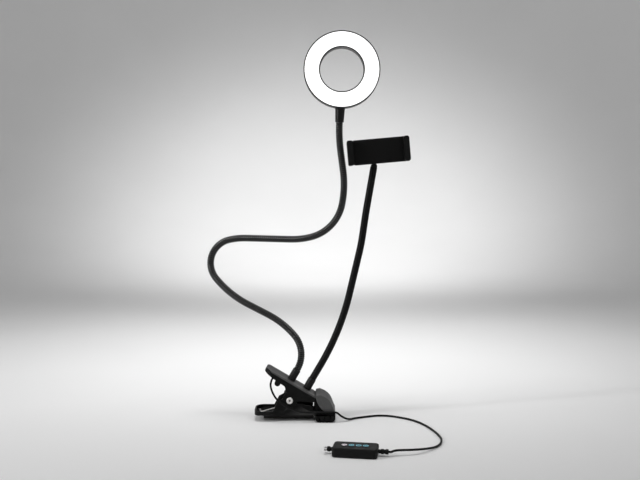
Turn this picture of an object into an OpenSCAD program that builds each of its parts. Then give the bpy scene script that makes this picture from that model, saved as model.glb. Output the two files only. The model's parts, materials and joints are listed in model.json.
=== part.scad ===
/* [Lamp ring] */
// Outside diameter of the lamp ring
ring_d = 90; // [84:1:96]
// Diameter of the hole through the lamp ring
ring_hole_d = 51.4; // [48:0.2:54]
// Front-to-back depth of the lamp ring
ring_depth = 16; // [15:0.5:20]
// Length of the tapered stem under the lamp ring
stem_length = 16.5; // [15:0.5:20]
// Number of light-emitting diodes round the ring
led_count = 36; // [24:4:40]

/* [Flexible arms] */
// Outside diameter of the flexible metal hose
hose_d = 8.5; // [8.2:0.1:9]
// Wall thickness of the flexible metal hose
hose_wall = 1.4; // [1.2:0.1:1.5]
// Diameter of the two sleeves that carry the arms
foot_d = 9.5; // [9.2:0.1:10]
// Length of the two sleeves that carry the arms
foot_length = 14; // [13:0.5:16]

/* [Clamp] */
// Distance from the rubber boot's middle back to the clamp's pivot
pivot_back = 42; // [41:0.5:43]
// Height of the clamp's pivot over the table
pivot_height = 25; // [24.5:0.5:26]
// Slope of the upper lever, nose down
lever_slope = 30.5; // [30:0.1:31]
// Width of the upper lever
upper_width = 34; // [34:0.5:36]
// Width of the lower lever
lower_width = 30; // [29:0.5:30]
// Width of the lower lever's handle
pan_width = 38; // [36:1:40]
// Width of the rubber boot, side to side
boot_width = 45; // [44:0.5:48]

/* [Phone holder] */
// Length of the holder over both jaws
holder_length = 72.5; // [71:0.5:75]
// Height of the holder
holder_height = 29; // [28:0.5:31]
// Free length between the jaws
phone_gap = 59; // [58:0.5:60]
// Tilt of the holder in its own plane
holder_roll = 5; // [3:0.5:7]

/* [Controller] */
// Length of the controller's case
control_length = 46.5; // [45:0.5:48]
// Width of the controller's case
control_width = 26; // [25:0.5:27]
// Height of the controller's case
control_height = 9.8; // [9.8:0.1:10.4]
// Diameter of the cord
cord_d = 2.4; // [2.2:0.1:2.6]

/* [Hidden] */
$fn = 64;

// Clamp: its frame has x toward the nose along the upper lever and z square to it.
pivot_x = -pivot_back;
plate_top = 19.2;
plate_wall = 1.6;
plate_under = plate_top - plate_wall;
handle_tip = -43;
plate_nose = 26;
plate_tongue = 40;
tongue_width = 26;
light_foot_at = -9.8;
phone_foot_at = 11.6;
ear_radius = 8.5;
pan_floor = 7;
pan_wall = 1.4;
pan_rim = 12.2;
pan_tip = -84;
pan_flare = [-62, -53];
pan_corner = 11;
boot_half = 12;
boot_top = 10.9;
boot_round = 5;
hood_width = 38;
pad_width = 30;
pivot_bore = 2.55;
pivot_r = 2.5;
rivet_head_r = 4;
stud_r = 3;
lead_r = 1.2;
clip_r = 3.5;
arc_step = 8;

// Arms: each stretch is [turn in degrees, radius], or [0, length] where it is straight.
hose_bore = hose_d / 2 - hose_wall;
light_chain = [
    [31, 36],
    [40, 36], [22, 104], [0, 27], [-23.5, 120], [-50, 28.7],
    [-38, 28.7],
    [-29, 28.7], [-13.5, 86], [0, 52], [15.5, 92], [20, 50],
    [24, 50],
    [21, 50], [18.5, 124], [0, 4],
    [0, 18],
    [-10, 200]
];
phone_chain = [
    [0, 2], [0, 17],
    [17.3, 310], [0, 48],
    [5, 280],
    [0, 18], [-1.6, 580], [0, 46]
];

// Lamp ring: its frame has z toward the front.
ring_r = ring_d / 2;
hole_r = ring_hole_d / 2;
rim = 1.3;
back_wall = 1.6;
ring_back = -ring_depth / 2;
ring_front = ring_depth / 2;
board_back = ring_back + back_wall + 1.2;
board_thick = 1.2;
board_front = board_back + board_thick;
board_in = hole_r + 3.3;
board_out = ring_r - 4.5;
post_radius = (board_in + board_out) / 2;
led_turn = 360 / led_count;
post_turn = (floor(led_count / 8) + 0.5) * led_turn;
stem_r = 5.1;
stem_top_r = 5.7;
stem_gap = 0.3;
ferrule_r = 3.75;
ferrule_bore = 3.8;
ferrule_length = 9;
tenon_r = 2.5;

// Phone holder: its frame has its origin at the ball's centre.
holder_mid_x = 1.9;
holder_mid_z = 2.3;
ball_r = 4.5;
ball_neck_r = 2.4;
ball_rise = 16;
jaw_front = -22;
plate_front = -16;
cover_front = -9.6;
cover_back = -8;
boss_r = 10;
boss_back = 4;
nut_back = 7;
slide_clear = 0.25;
end_wall = 3;

// Controller: its frame has x along the case, from the plug to the cord.
control_x = 30.2;
control_y = -142.5;
control_turn = -9.5;
control_wall = 1.5;
control_split = control_height / 2;
control_corner = 4;
board_level = 2.5;
key_board_thick = 1.2;
button_size = 6;
button_pitch = 7.4;
button_first = -11.5;
relief_length = 10.8;
relief_r = 2.1;
rib_r = 2.7;
rib_width = 3.3;
rib_pitch = 4.7;
neck_length = 6;
plug_length = 3;

// Route of the cord, from the clip under the upper lever to the controller.
cord_route = [
    [-61.3, -10, 51.3], [-63.4, -11, 48.6], [-64.6, -13.6, 43.4], [-63.4, -17, 38.2],
    [-60.6, -20, 32.8], [-56.8, -21.6, 27.8], [-51, -22.4, 22.8], [-44.4, -22.4, 18.6],
    [-38, -22.2, 15.6], [-31.4, -22, 13.4], [-24, -22, 12.4], [-16, -21.5, 12.2],
    [-8, -21, 12.2], [0, -21, 12.2], [8, -21, 12.2], [13.6, -20.5, 11.6],
    [19, -19.1, 7.2], [25, -15.8, 3.4], [30, -11, 1.6], [36, -5.8, 1.3],
    [48, 0, 1.3], [62, 5.4, 1.3], [76, 4.6, 1.3], [88, -1.8, 1.3],
    [99, -10.4, 1.3], [108, -21.6, 1.3], [114.4, -34.6, 1.3], [119.6, -50, 1.3],
    [123.8, -68, 1.3], [126, -86, 1.3], [125.3, -96.1, 1.3], [122.6, -107.7, 1.3],
    [118.1, -116.9, 1.4], [112.3, -124.1, 1.9], [105.1, -131.1, 3], [97, -137.7, 4.3],
    [88.2, -142.6, 5.3], [79.7, -144.9, 5.8], [71.5, -145.3, 5.5]
];
drop_points = 8;
// Places on the cord's line: where the strain relief ends, and a short way out from it.
function on_lead(reach) = [
    control_x + reach * cos(control_turn), control_y + reach * sin(control_turn), control_split
];
control_end = on_lead(control_length / 2 + relief_length);
control_lead = on_lead(control_length / 2 + relief_length + 2.5);

// ---- helper functions and shapes ----

// A place [along, up] in the clamp's frame, as [x, z] in the object's frame.
function clamp_point(along, up) = [
    pivot_x + along * cos(lever_slope) + up * sin(lever_slope),
    pivot_height - along * sin(lever_slope) + up * cos(lever_slope)
];
// The pose [x, z, heading] at the end of one stretch of hose.
function next_pose(p, s) = let (h = p[2], side = s[0] > 0 ? 1 : -1)
    s[0] == 0
        ? [p[0] + s[1] * cos(h), p[1] + s[1] * sin(h), h]
        : [
            p[0] + side * s[1] * (sin(h + s[0]) - sin(h)),
            p[1] - side * s[1] * (cos(h + s[0]) - cos(h)),
            h + s[0]
        ];
// The poses at the start of each stretch, and at the end of the last.
function chain_poses(start, chain) = [
    for (i = 0, p = start; i <= len(chain); p = i < len(chain) ? next_pose(p, chain[i]) : p, i = i + 1) p
];
function unit(v) = v / norm(v);
function tangent(p, i) = unit(p[min(i + 1, len(p) - 1)] - p[max(i - 1, 0)]);
function square_to(n, t) = unit(n - (n * t) * t);
// One normal for each point, carried along so that a tube doesn't twist.
function carried_normals(p, n0) = [
    for (
        i = 0, n = square_to(n0, tangent(p, 0));
        i < len(p);
        i = i + 1, n = i < len(p) ? square_to(n, tangent(p, i)) : n
    ) n
];
// A smooth curve through points, with steps points to each span.
function smooth(p, steps) = [
    for (i = [0 : len(p) - 2], k = [0 : steps - 1])
        let (
            t = k / steps,
            a = p[max(i - 1, 0)],
            b = p[i],
            c = p[i + 1],
            d = p[min(i + 2, len(p) - 1)]
        )
        b + 0.5 * t * (c - a + t * (2 * a - 5 * b + 4 * c - d + t * (3 * (b - c) + d - a))),
    p[len(p) - 1]
];

// A tube of radius r along points, with flat ends.
module swept_tube(points, r, sides = 8, up = [0, 1, 0]) {
    normals = carried_normals(points, up);
    rings = [
        for (i = [0 : len(points) - 1], k = [0 : sides - 1])
            let (n = normals[i], b = cross(tangent(points, i), n), a = 360 * k / sides)
            points[i] + r * (cos(a) * n + sin(a) * b)
    ];
    last = (len(points) - 1) * sides;
    faces = [
        for (i = [0 : len(points) - 2], k = [0 : sides - 1])
            let (a = i * sides + k, b = i * sides + (k + 1) % sides)
            each [[a, a + sides, b], [b, a + sides, b + sides]],
        [for (k = [0 : sides - 1]) k],
        [for (k = [sides - 1 : -1 : 0]) last + k]
    ];
    polyhedron(rings, faces, convexity = 10);
}

// A rectangle about the origin with round corners.
module rounded_square(w, h, r) {
    square([w - 2 * r, h], center = true);
    square([w, h - 2 * r], center = true);
    for (x = [-1, 1], y = [-1, 1])
        translate([x * (w / 2 - r), y * (h / 2 - r)])
            circle(r);
}

// A hexagon across flats, standing on z = 0.
module hexagon(flats, thick) {
    cylinder(d = flats / cos(30), h = thick, $fn = 6);
}

// An outline in x and z, spread width wide about y = 0.
module across(width) {
    rotate([90, 0, 0])
        linear_extrude(width, center = true)
            children();
}

// An outline in y and z, drawn along x from x0 to x1.
module along_x(x0, x1) {
    translate([x0, 0, 0])
        rotate([90, 0, 90])
            linear_extrude(x1 - x0)
                children();
}

module at_clamp() {
    translate([pivot_x, 0, pivot_height])
        rotate([0, lever_slope, 0])
            children();
}

// Puts children on an arm's pose, with z along the arm.
module at_pose(p) {
    translate([p[0], 0, p[1]])
        rotate([0, 90 - p[2], 0])
            children();
}

// The poses along one stretch, after its start.
function stretch_poses(p, s) = let (steps = s[0] == 0 ? 1 : ceil(abs(s[0]) / arc_step))
    [for (j = [1 : steps]) next_pose(p, s[0] == 0 ? s : [s[0] * j / steps, s[1]])];
// The poses along stretches first to last of an arm.
function hose_line(poses, chain, first, last) = [
    poses[first],
    for (i = [first : last]) each stretch_poses(poses[i], chain[i])
];
// One ring of corners for each pose.
function hose_rings(line, r, sides) = [
    for (p = line, k = [0 : sides - 1])
        let (a = 360 * k / sides)
        [p[0] - r * cos(a) * sin(p[2]), -r * sin(a), p[1] + r * cos(a) * cos(p[2])]
];
// The faces of a tube's wall, facing out, or in where flip is true.
function wall_faces(rings, sides, from, flip) = [
    for (i = [0 : rings - 2], k = [0 : sides - 1])
        let (a = from + i * sides + k, b = from + i * sides + (k + 1) % sides)
        each flip
            ? [[a, b, a + sides], [b, b + sides, a + sides]]
            : [[a, a + sides, b], [b, a + sides, b + sides]]
];

// A hollow tube along poses.
module hose(line) {
    sides = 16;
    inner = len(line) * sides;
    last = inner - sides;
    ends = [
        for (k = [0 : sides - 1])
            let (n = (k + 1) % sides)
            each [
                [k, n, inner + n, inner + k],
                [last + n, last + k, inner + last + k, inner + last + n]
            ]
    ];
    polyhedron(
        concat(hose_rings(line, hose_d / 2, sides), hose_rings(line, hose_bore, sides)),
        concat(
            wall_faces(len(line), sides, 0, false),
            wall_faces(len(line), sides, inner, true),
            ends
        ),
        convexity = 10
    );
}

// A solid round lead along poses.
module lead(line) {
    sides = 8;
    last = (len(line) - 1) * sides;
    polyhedron(
        hose_rings(line, lead_r, sides),
        concat(
            wall_faces(len(line), sides, 0, false),
            [[for (k = [0 : sides - 1]) k], [for (k = [sides - 1 : -1 : 0]) last + k]]
        ),
        convexity = 10
    );
}

light_poses = let (p = clamp_point(light_foot_at, plate_top + foot_length))
    chain_poses([p[0], p[1], 90 - lever_slope], light_chain);
phone_poses = let (p = clamp_point(phone_foot_at, plate_top + foot_length))
    chain_poses([p[0], p[1], 90 - lever_slope], phone_chain);
light_end = light_poses[len(light_chain)];
phone_end = phone_poses[len(phone_chain)];

// ---- clamp ----

module lever_plan(tip, nose, w, corner) {
    translate([tip + corner, -w / 2])
        square([nose - tip - corner, w]);
    translate([tip, -w / 2 + corner])
        square([2 * corner, w - 2 * corner]);
    for (side = [-1, 1])
        translate([tip + corner, side * (w / 2 - corner)])
            circle(corner);
}

// The upper lever's pressing, filled, drawn in by inset all round.
module upper_block(inset, nose) {
    intersection() {
        translate([0, 0, -30])
            linear_extrude(80)
                lever_plan(handle_tip + inset, nose, upper_width - 2 * inset, 11 - inset);
        along_x(-60, 60)
            translate([0, plate_top - inset - 30])
                rounded_square(upper_width - 2 * inset, 60, 3 - inset);
    }
}

module upper_outline() {
    polygon([
        [-44, 14.6], [-30, 12.6], [-14, 11.6], [-ear_radius, 7], [-ear_radius, 0], [ear_radius, 0],
        [ear_radius, 4.4], [10.5, 5.2], [24.6, 12.2], [27, 14], [27, 21], [-44, 21]
    ]);
    circle(ear_radius);
}

module upper_plate() {
    difference() {
        intersection() {
            upper_block(0, plate_nose);
            across(60) upper_outline();
        }
        upper_block(plate_wall, plate_nose + 1);
        rotate([90, 0, 0])
            cylinder(r = pivot_bore, h = 60, center = true);
        for (at = [light_foot_at, phone_foot_at])
            translate([at, 0, 0])
                cylinder(r = stud_r, h = 30);
    }
    translate([plate_nose - 1, -tongue_width / 2, plate_under])
        cube([plate_tongue - plate_nose + 1, tongue_width, plate_wall]);
}

module upper_lever() {
    color([0.17, 0.17, 0.18])
        at_clamp()
            upper_plate();
}

module hood_outline() {
    polygon([
        [-11.4, 29.6], [-11, 31.4], [-6.3, 32.3], [-0.6, 29.8], [3.4, 26.9], [6.4, 23.6],
        [8.3, 19.5], [10, 15], [11.8, boot_top], [1, boot_top], [-1, 12.2], [-4.4, 14.9],
        [-7.4, 18.7], [-9.8, 23.6]
    ]);
}

module pad_block() {
    difference() {
        across(pad_width)
            polygon([
                [-13.4, boot_top], [9.2, boot_top], [6.4, 18], [0, 24], [-13.4, 30]
            ]);
        at_clamp()
            translate([-50, -40, plate_under])
                cube([120, 80, 40]);
    }
}

module upper_hood() {
    color([0.15, 0.15, 0.16])
        difference() {
            across(hood_width) hood_outline();
            pad_block();
            at_clamp() {
                upper_plate();
                upper_block(plate_wall, plate_nose);
            }
        }
}

module upper_pad() {
    color([0.08, 0.08, 0.08])
        pad_block();
}

// The lower lever seen from above, wider at its handle.
module pan_plan(inset) {
    wide = pan_width / 2 - inset;
    slim = lower_width / 2 - inset;
    corner = pan_corner - inset;
    tip = pan_tip + inset;
    nose = -boot_half - inset;
    polygon([
        [nose, -slim], [nose, slim], [pan_flare[1], slim], [pan_flare[0], wide], [tip + corner, wide],
        [tip, wide - corner], [tip, corner - wide],
        [tip + corner, -wide], [pan_flare[0], -wide], [pan_flare[1], -slim]
    ]);
    for (side = [-1, 1])
        translate([tip + corner, side * (wide - corner)])
            circle(corner);
}

// The lower lever's pan, filled, drawn in by inset all round.
module lower_block(inset) {
    intersection() {
        translate([0, 0, -10])
            linear_extrude(80)
                pan_plan(inset);
        along_x(-90, 20)
            translate([0, pan_floor + inset + 30])
                rounded_square(pan_width - 2 * inset, 60, 3 - inset);
    }
}

module lower_outline() {
    polygon([
        [-85, 0], [-85, pan_rim], [pan_flare[0], pan_rim], [-56, 23.5], [-48.4, 27.8], [-36.4, 29],
        [-33.6, 20.6], [-27, 20.2], [-22.5, 18.6], [-17, 18.6], [-14.4, 16],
        [-14.4, boot_top], [-boot_half, boot_top], [-boot_half, 0]
    ]);
    translate([pivot_x, pivot_height])
        circle(7);
}

module lower_lever() {
    color([0.2, 0.2, 0.21]) {
        difference() {
            intersection() {
                lower_block(0);
                across(60) lower_outline();
            }
            difference() {
                lower_block(pan_wall);
                translate([-boot_half - 1, -40, 0])
                    cube([10, 80, boot_top]);
            }
            translate([pivot_x, 0, pivot_height])
                rotate([90, 0, 0])
                    cylinder(r = pivot_bore, h = 60, center = true);
        }
        translate([-boot_half - 0.5, -tongue_width / 2, pan_floor])
            cube([20.5, tongue_width, pan_wall]);
        translate([-74, -2.5, 0])
            cube([60, 5, pan_floor + 0.5]);
    }
}

module lower_boot() {
    color([0.09, 0.09, 0.09])
        difference() {
            across(boot_width) {
                translate([-boot_half, boot_round])
                    square([2 * boot_half, boot_top - boot_round]);
                translate([-boot_half + boot_round, 0])
                    square([2 * (boot_half - boot_round), boot_round + 1]);
                for (x = [-1, 1])
                    translate([x * (boot_half - boot_round), boot_round])
                        circle(boot_round);
            }
            translate([-boot_half - 1, -tongue_width / 2, pan_floor])
                cube([21, tongue_width, pan_wall]);
        }
}

module pivot_tube() {
    color([0.86, 0.86, 0.86])
        translate([pivot_x, 0, pivot_height])
            rotate([90, 0, 0])
                difference() {
                    union() {
                        cylinder(r = pivot_r, h = upper_width + 2, center = true);
                        for (side = [-1, 1])
                            translate([0, 0, side * (upper_width / 2 + 0.5)])
                                cylinder(r = rivet_head_r, h = 1, center = true);
                    }
                    cylinder(r = 1.2, h = 60, center = true);
                }
}

// Coil about the pivot with one leg on the pan and one under the upper lever.
module torsion_spring() {
    coil_r = 5.5;
    coil_y = 6;
    first_angle = -72;
    last_angle = 41 + 4 * 360;
    steps = 72;
    upper_leg = clamp_point(-33, plate_under - 0.9);
    coil = [
        for (k = [0 : steps])
            let (a = first_angle + (last_angle - first_angle) * k / steps)
            [pivot_x + coil_r * cos(a), coil_y * (2 * k / steps - 1), pivot_height + coil_r * sin(a)]
    ];
    color([0.8, 0.8, 0.8])
        swept_tube(
            concat([[-77.8, -coil_y, 12.4], [-77, -coil_y, 9.7], [-75.2, -coil_y, 9.3]], coil,
                [[upper_leg[0], coil_y, upper_leg[1]]]),
            0.8
        );
}

module cord_clip() {
    color([0.1, 0.1, 0.1])
        at_clamp() {
            translate([-22.5, -6, 0])
                rotate([90, 0, 0])
                    linear_extrude(7) {
                        translate([-clip_r, 6 + clip_r])
                            square([2 * clip_r, plate_under - 6 - clip_r]);
                        translate([0, 6 + clip_r])
                            circle(clip_r);
                    }
            translate([-30, -10, 13.4]) {
                cylinder(r = 2.2, h = plate_under - 13.4);
                translate([0, 0, 3.2])
                    cylinder(r = 3.4, h = plate_under - 16.6);
            }
        }
}

module arm_washers() {
    color([0.7, 0.7, 0.7])
        at_clamp()
            for (at = [light_foot_at, phone_foot_at])
                translate([at, 0, plate_under - 0.6])
                    difference() {
                        cylinder(r = 5.6, h = 0.6);
                        translate([0, 0, -1])
                            cylinder(r = stud_r, h = 3);
                    }
}

module arm_nuts() {
    color([0.75, 0.74, 0.7])
        at_clamp()
            for (at = [light_foot_at, phone_foot_at])
                translate([at, 0, plate_under - 4.1])
                    difference() {
                        hexagon(9, 3.5);
                        translate([0, 0, -1])
                            cylinder(r = stud_r, h = 6);
                    }
}

// ---- arms ----

module arm_foot(at) {
    color([0.12, 0.12, 0.12])
        at_clamp()
            translate([at, 0, plate_top])
                difference() {
                    union() {
                        cylinder(d = foot_d, h = foot_length);
                        translate([0, 0, -plate_wall - 5])
                            cylinder(r = stud_r, h = plate_wall + 5.5);
                    }
                    translate([0, 0, -plate_wall - 6])
                        cylinder(r = 1.6, h = foot_length + plate_wall + 7);
                }
}

module light_foot() arm_foot(light_foot_at);
module phone_foot() arm_foot(phone_foot_at);

module light_stretch(first, last) {
    color([0.13, 0.13, 0.13])
        hose(hose_line(light_poses, light_chain, first, last));
}

module light_bend_1() light_stretch(0, 0);
module light_hose_1() light_stretch(1, 5);
module light_bend_2() light_stretch(6, 6);
module light_hose_2() light_stretch(7, 11);
module light_bend_3() light_stretch(12, 12);
module light_hose_3() light_stretch(13, 15);
module light_bend_4() light_stretch(16, 16);
module light_hose_4() light_stretch(17, 17);

module light_lead(first, last, before = []) {
    color([0.5, 0.1, 0.1])
        lead(concat(before, hose_line(light_poses, light_chain, first, last)));
}

module light_lead_1() {
    foot = clamp_point(light_foot_at, plate_under - 5);
    light_lead(0, 5, [[foot[0], foot[1], 90 - lever_slope]]);
}
module light_lead_2() light_lead(6, 11);
module light_lead_3() light_lead(12, 15);
module light_lead_4() light_lead(16, 17);

// Turned end of the hose, on which the stem swivels.
module light_ferrule() {
    color([0.6, 0.6, 0.6])
        at_pose(light_end)
            difference() {
                union() {
                    translate([0, 0, -6])
                        cylinder(r = hose_bore - 0.3, h = 6.5);
                    cylinder(r = ferrule_r, h = ferrule_length);
                }
                translate([0, 0, -7])
                    cylinder(r = 1.6, h = ferrule_length + 8);
            }
}

module phone_stretch(first, last) {
    color([0.11, 0.11, 0.11])
        hose(hose_line(phone_poses, phone_chain, first, last));
}

module phone_bend_1() phone_stretch(0, 1);
module phone_hose_1() phone_stretch(2, 3);
module phone_bend_2() phone_stretch(4, 4);
module phone_hose_2() phone_stretch(5, 7);

// ---- lamp ring ----

// Puts children in the lamp ring's frame.
module at_ring() {
    at_pose(light_end)
        translate([0, 0, stem_length + ring_r])
            rotate([90, 0, 0])
                children();
}

module ring_section(r0, r1, z0, z1) {
    translate([r0, z0])
        square([r1 - r0, z1 - z0]);
}

module ring_stem() {
    color([0.14, 0.14, 0.14])
        difference() {
            at_pose(light_end)
                difference() {
                    translate([0, 0, stem_gap])
                        cylinder(r1 = stem_r, r2 = stem_top_r, h = stem_length + 1);
                    translate([0, 0, -1])
                        cylinder(r = ferrule_bore, h = ferrule_length + 2);
                    cylinder(r = 1.6, h = stem_length + 4);
                }
            at_ring()
                cylinder(r = ring_r, h = 60, center = true, $fn = 96);
        }
    color([0.14, 0.14, 0.14])
        at_pose(light_end)
            translate([0, 0, stem_length - 2])
                difference() {
                    cylinder(r = tenon_r, h = 7);
                    translate([0, 0, -1])
                        cylinder(r = 1.6, h = 9);
                }
}

module ring_stem_nut() {
    color([0.75, 0.74, 0.7])
        at_pose(light_end)
            translate([0, 0, stem_length + rim + 0.3])
                difference() {
                    hexagon(7, 2.4);
                    translate([0, 0, -1])
                        cylinder(r = tenon_r, h = 5);
                }
}

module ring_housing() {
    color([0.24, 0.24, 0.25])
        difference() {
            at_ring() {
                rotate_extrude($fn = 96)
                    difference() {
                        union() {
                            ring_section(hole_r, ring_r, ring_back + 3, ring_front);
                            ring_section(hole_r + 3, ring_r - 3, ring_back, ring_back + 4);
                            translate([hole_r + 3, ring_back + 3])
                                circle(3);
                            translate([ring_r - 3, ring_back + 3])
                                circle(3);
                        }
                        ring_section(hole_r + rim, ring_r - rim, ring_back + back_wall, ring_front + 1);
                    }
                for (k = [0 : 3])
                    rotate([0, 0, post_turn + 90 * k])
                        translate([post_radius, 0, ring_back + back_wall - 0.2])
                            difference() {
                                cylinder(r = 2.2, h = board_back - ring_back - back_wall + 0.2);
                                translate([0, 0, 0.2])
                                    cylinder(r = 0.9, h = 4);
                            }
            }
            at_pose(light_end)
                translate([0, 0, stem_length - 2])
                    cylinder(r = tenon_r, h = 8);
        }
}

module ring_diffuser() {
    color([0.97, 0.97, 0.96])
        at_ring()
            rotate_extrude($fn = 96) {
                ring_section(hole_r + rim, ring_r - rim, ring_front - 2.2, ring_front - 0.5);
                ring_section(hole_r + 3.4, ring_r - 3.4, ring_front - 1, ring_front);
            }
}

module led_board() {
    color([0.9, 0.9, 0.86])
        at_ring()
            difference() {
                rotate_extrude($fn = 96)
                    ring_section(board_in, board_out, board_back, board_front);
                for (k = [0 : 3])
                    rotate([0, 0, post_turn + 90 * k])
                        translate([post_radius, 0, board_back - 1])
                            cylinder(r = 1.1, h = 4);
            }
}

module leds() {
    color([0.95, 0.85, 0.4])
        at_ring()
            for (k = [0 : led_count - 1])
                rotate([0, 0, k * led_turn])
                    translate([post_radius - 1.4, -1.4, board_front])
                        cube([2.8, 2.8, 0.8]);
}

module board_screws() {
    color([0.7, 0.7, 0.7])
        at_ring()
            for (k = [0 : 3])
                rotate([0, 0, post_turn + 90 * k])
                    translate([post_radius, 0, board_front]) {
                        cylinder(r = 1.3, h = 0.9);
                        translate([0, 0, -board_thick - 1])
                            cylinder(r = 0.9, h = board_thick + 1.2);
                    }
}

// ---- phone holder ----

module at_holder() {
    translate([phone_end[0] + ball_rise * cos(phone_end[2]), 0, phone_end[1] + ball_rise * sin(phone_end[2])])
        rotate([0, -holder_roll, 0])
            children();
}

// A block in the holder's frame, between x0 and x1, y0 and y1, about the holder's middle height.
module holder_block(x0, x1, y0, y1, high, r) {
    translate([holder_mid_x + (x0 + x1) / 2, y1, holder_mid_z])
        rotate([90, 0, 0])
            linear_extrude(y1 - y0)
                rounded_square(x1 - x0, high, r);
}

holder_left = -holder_length / 2;
holder_right = holder_length / 2;
gap_left = -phone_gap / 2;
gap_right = phone_gap / 2;
rail_high = 16;
rail_thick = 2;
rail_end = 2;
rail_front = -13.4;

module holder_ball_stud() {
    color([0.7, 0.7, 0.7])
        at_pose(phone_end) {
            rotate_extrude()
                polygon([
                    [0, -8], [hose_bore - 0.15, -8], [hose_bore - 0.15, 0.2], [hose_d / 2 - 0.4, 0.2],
                    [hose_d / 2 - 0.4, 1.8], [ball_neck_r + 0.5, 3.6], [ball_neck_r, 3.6],
                    [ball_neck_r, ball_rise], [0, ball_rise]
                ]);
            translate([0, 0, ball_rise])
                sphere(ball_r);
        }
}

module holder_ball_pads() {
    color([0.9, 0.9, 0.88])
        at_holder()
            for (side = [-1, 1])
                difference() {
                    rotate([90, 0, 0])
                        translate([0, 0, side > 0 ? -6 : 3])
                            cylinder(r = 2.4, h = 3);
                    sphere(ball_r + 0.05);
                }
}

// Everything that the ball and its neck need free, through the tilt and the roll.
module ball_room() {
    sphere(ball_r + 0.05);
    rotate([90, 0, 0])
        cylinder(r = 2.45, h = 12, center = true);
    rotate([0, holder_roll + 90 - phone_end[2], 0])
        rotate([180, 0, 0])
            cylinder(r1 = 2.7, r2 = 2.7 + 20 * tan(22), h = 20);
}

module holder_cover() {
    color([0.12, 0.12, 0.12])
        at_holder()
            difference() {
                union() {
                    holder_block(gap_left - 0.5, holder_right - end_wall, cover_front, cover_back, holder_height - 1, 2.5);
                    rotate([90, 0, 0])
                        translate([0, 0, -boss_back])
                            cylinder(r = boss_r, h = boss_back - cover_front);
                }
                ball_room();
                screw_holes(1.3);
            }
}

module holder_ball_nut() {
    color([0.1, 0.1, 0.1])
        at_holder()
            difference() {
                rotate([90, 0, 0])
                    translate([0, 0, -nut_back])
                        cylinder(r = boss_r + 0.6, h = nut_back - boss_back);
                ball_room();
            }
}

module screw_holes(r) {
    for (x = [-26, 27], z = [-10.8, 10.8])
        translate([holder_mid_x + x, cover_back + 1, holder_mid_z + z])
            rotate([90, 0, 0])
                cylinder(r = r, h = 7);
}

module holder_screws() {
    color([0.7, 0.7, 0.7])
        at_holder()
            for (x = [-26, 27], z = [-10.8, 10.8])
                translate([holder_mid_x + x, cover_back, holder_mid_z + z])
                    rotate([90, 0, 0]) {
                        translate([0, 0, -0.8])
                            cylinder(r = 2, h = 0.8);
                        cylinder(r = 1.2, h = 5.5);
                    }
}

module holder_body() {
    color([0.13, 0.13, 0.14])
        at_holder()
            difference() {
                union() {
                    holder_block(gap_left - 0.5, holder_right, plate_front, cover_front, holder_height, 2.5);
                    holder_block(holder_right - end_wall, holder_right, cover_front - 1, cover_back, holder_height, 1.4);
                    holder_block(gap_right, holder_right, jaw_front, plate_front + 1, holder_height, 2.5);
                }
                // spring room behind the front wall
                translate([holder_mid_x - 23, plate_front + 1.8, holder_mid_z - rail_high / 2 - 0.2])
                    cube([49, 10, rail_high + 0.4]);
                // way for the slide's rail
                translate([holder_mid_x + gap_left - 2, rail_front - 0.2, holder_mid_z - rail_high / 2 - 0.2])
                    cube([12, rail_thick + 0.4, rail_high + 0.4]);
                screw_holes(1.2);
            }
}

module holder_pad() {
    color([0.16, 0.16, 0.17])
        at_holder() {
            holder_block(gap_left + 1, gap_right - 1, plate_front - 0.8, plate_front, holder_height - 3, 2);
            holder_block(gap_right - 0.8, gap_right, jaw_front + 1.5, plate_front - 1, holder_height - 4, 0.3);
        }
}

module holder_slide() {
    color([0.13, 0.13, 0.14])
        at_holder() {
            holder_block(holder_left, gap_left - 0.5 - slide_clear, jaw_front, cover_back, holder_height, 1.9);
            holder_block(gap_left - 4, gap_left, jaw_front, plate_front - slide_clear, holder_height, 1.9);
            translate([holder_mid_x + gap_left - 3, rail_front, holder_mid_z - rail_high / 2])
                cube([rail_end - gap_left + 3, rail_thick, rail_high]);
        }
}

module holder_slide_pad() {
    color([0.16, 0.16, 0.17])
        at_holder()
            holder_block(gap_left, gap_left + 0.7, jaw_front + 1.5, plate_front - 1.2, holder_height - 4, 0.3);
}

// Two draw springs between the rail's end and the body's right-hand wall.
module holder_springs() {
    turns = 10;
    color([0.8, 0.8, 0.8])
        at_holder()
            for (z = [-5, 5])
                translate([holder_mid_x, rail_front + rail_thick / 2, holder_mid_z + z])
                    swept_tube([
                        for (k = [0 : turns * 8])
                            [rail_end + 0.4 + 23.2 * k / turns / 8, 1.2 * cos(45 * k), 1.2 * sin(45 * k)]
                    ], 0.25, 6, [1, 0.2, 0.1]);
}

// ---- cord ----

module cord_drop() {
    color([0.09, 0.09, 0.09])
        swept_tube(smooth([for (k = [0 : drop_points - 1]) cord_route[k]], 2), cord_d / 2, up = [0, 1, 0.3]);
}

module cord_run() {
    run = [for (k = [drop_points - 1 : len(cord_route) - 1]) cord_route[k]];
    color([0.09, 0.09, 0.09])
        swept_tube(concat(smooth(concat(run, [control_lead]), 2), [control_end]), cord_d / 2, up = [0, 1, 0.3]);
}

// ---- controller ----

module at_control() {
    translate([control_x, control_y, 0])
        rotate([0, 0, control_turn])
            children();
}

module case_block(inset, z0, z1) {
    translate([0, 0, z0])
        linear_extrude(z1 - z0)
            rounded_square(control_length - 2 * inset, control_width - 2 * inset, control_corner - inset);
}

module neck_holes() {
    for (side = [-1, 1])
        translate([side * (control_length / 2 - 1), 0, control_split])
            rotate([0, 90, 0])
                cylinder(r = 2.2, h = 6, center = true);
}

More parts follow.
